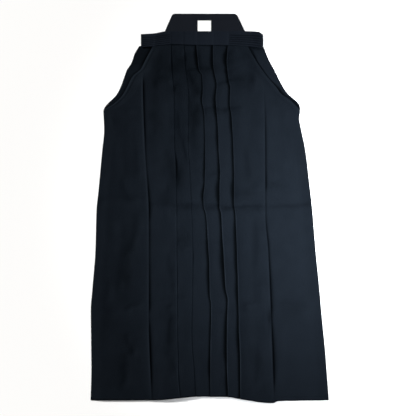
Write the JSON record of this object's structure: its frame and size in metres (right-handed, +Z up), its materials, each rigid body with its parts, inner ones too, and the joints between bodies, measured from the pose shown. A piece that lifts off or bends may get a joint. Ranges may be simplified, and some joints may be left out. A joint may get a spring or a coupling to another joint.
{
  "type": "divided hakama trousers laid flat",
  "caption": "Divided pleated hakama trousers in navy cloth, laid flat front upwards, with a stiff back board above the front band and the ties folded away inside the legs.",
  "frame": {"origin": "centre of the bounding box on the surface that the garment lies on", "axes": "+X to the viewer's right as seen from above, which is the wearer's left; +Y from the hem to the waist; +Z up from the surface, out of the garment's front"},
  "size_m": [0.614, 1.004, 0.0142],
  "materials": {
    "navy_twill": "fine twill, slightly lustrous, near-black navy",
    "navy_band": "folded twill strip with rows of quilting stitches",
    "navy_board": "twill stretched smooth over a stiff board",
    "white_label": "white woven tape, blank"
  },
  "bodies": {
    "root": {"front_panel_left": "navy_twill", "front_panel_right": "navy_twill", "back_panel_left": "navy_twill", "back_panel_right": "navy_twill", "crotch_gusset": "navy_twill", "back_board": "navy_board", "front_band": "navy_band", "front_tie_left": "navy_band", "front_tie_right": "navy_band", "back_tie_left": "navy_band", "back_tie_right": "navy_band", "size_label": "white_label"}
  },
  "joints": []
}
